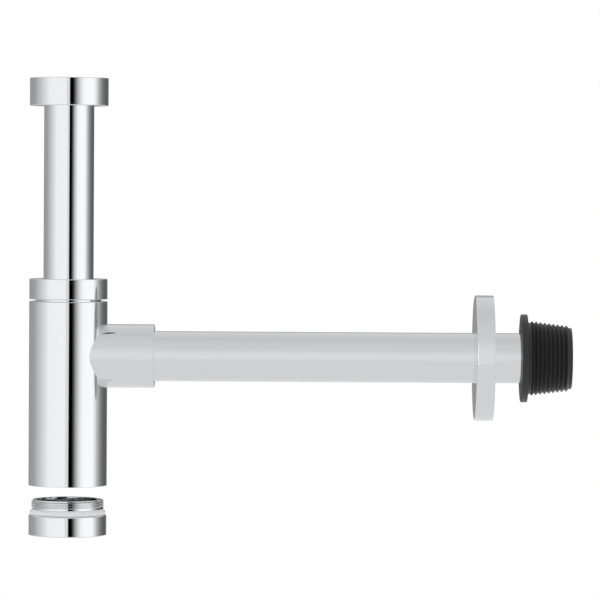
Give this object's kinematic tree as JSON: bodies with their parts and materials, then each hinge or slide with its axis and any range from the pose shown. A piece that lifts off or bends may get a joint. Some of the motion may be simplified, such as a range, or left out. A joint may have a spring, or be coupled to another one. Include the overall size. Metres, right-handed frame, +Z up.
{
  "type": "adjustable basin trap",
  "caption": "Chromed cylindrical bottle trap for a washbasin, with telescopic inlet tube, outlet tube, wall flange, ribbed rubber wall seal and screw-off cleaning cap.",
  "frame": {"origin": "on the inlet axis, at the foot of the coupling nut's thread, just above the inlet washer", "axes": "+Z up along the inlet tube, +X along the outlet tube towards the wall"},
  "size_m": [0.3465, 0.08, 0.2919],
  "materials": {
    "chrome": "bright chrome plate on brass",
    "black_rubber": "satin moulded rubber",
    "white_seal": "translucent white polyethylene"
  },
  "bodies": {
    "coupling_nut": {"coupling_nut": "chrome"},
    "coupling_ring": {"coupling_slip_ring": "white_seal"},
    "inlet_tube": {"inlet_tube": "chrome", "inlet_washer": "black_rubber"},
    "collar_seal": {"collar_seal": "black_rubber"},
    "bottle": {"bottle_shell": "chrome", "neck_ring": "chrome", "base_ring": "chrome", "outlet_branch": "chrome", "outlet_o_ring_inner": "black_rubber", "outlet_o_ring_outer": "black_rubber"},
    "collar_ring": {"collar_slip_ring": "white_seal"},
    "collar_nut": {"collar_nut": "chrome"},
    "outlet_tube": {"outlet_tube": "chrome"},
    "wall_flange": {"wall_flange": "chrome", "flange_grip_ring": "black_rubber"},
    "wall_seal": {"wall_seal": "black_rubber"},
    "cap_washer": {"cap_washer": "white_seal"},
    "cleaning_cap": {"cleaning_cap": "chrome"}
  },
  "joints": [
    {"name": "coupling_spin", "type": "hinge", "parent": "coupling_nut", "child": "coupling_ring", "pos_m": [0, 0, 0], "axis": [0, 0, 1], "continuous": true},
    {"name": "coupling_slide", "type": "slide", "parent": "coupling_ring", "child": "inlet_tube", "axis": [0, 0, 1], "range_m": [0, 0.045]},
    {"name": "height_slide", "type": "slide", "parent": "inlet_tube", "child": "collar_seal", "axis": [0, 0, 1], "range_m": [-0.03, 0.024]},
    {"name": "bottle_swivel", "type": "hinge", "parent": "collar_seal", "child": "bottle", "pos_m": [0, 0, -0.1316], "axis": [0, 0, 1], "continuous": true},
    {"name": "collar_lift", "type": "slide", "parent": "bottle", "child": "collar_ring", "axis": [0, 0, 1], "range_m": [0, 0.0095]},
    {"name": "collar_turn", "type": "hinge", "parent": "collar_ring", "child": "collar_nut", "pos_m": [0, 0, -0.1239], "axis": [0, 0, 1], "range_deg": [0, 1720]},
    {"name": "outlet_slide", "type": "slide", "parent": "bottle", "child": "outlet_tube", "axis": [1, 0, 0], "range_m": [-0.006, 0.012]},
    {"name": "flange_slide", "type": "slide", "parent": "outlet_tube", "child": "wall_flange", "axis": [1, 0, 0], "range_m": [-0.195, 0.022]},
    {"name": "seal_slide", "type": "slide", "parent": "outlet_tube", "child": "wall_seal", "axis": [1, 0, 0], "range_m": [0, 0.045]},
    {"name": "cap_lift", "type": "slide", "parent": "bottle", "child": "cap_washer", "axis": [0, 0, 1], "range_m": [0, 0.0186]},
    {"name": "cap_turn", "type": "hinge", "parent": "cap_washer", "child": "cleaning_cap", "pos_m": [0, 0, -0.2613], "axis": [0, 0, 1], "range_deg": [0, 4470]}
  ],
  "couplings": [
    {"joint": "collar_turn", "follows": "collar_lift", "rad_per_m": 3141.6},
    {"joint": "cap_turn", "follows": "cap_lift", "rad_per_m": 4188.8}
  ]
}
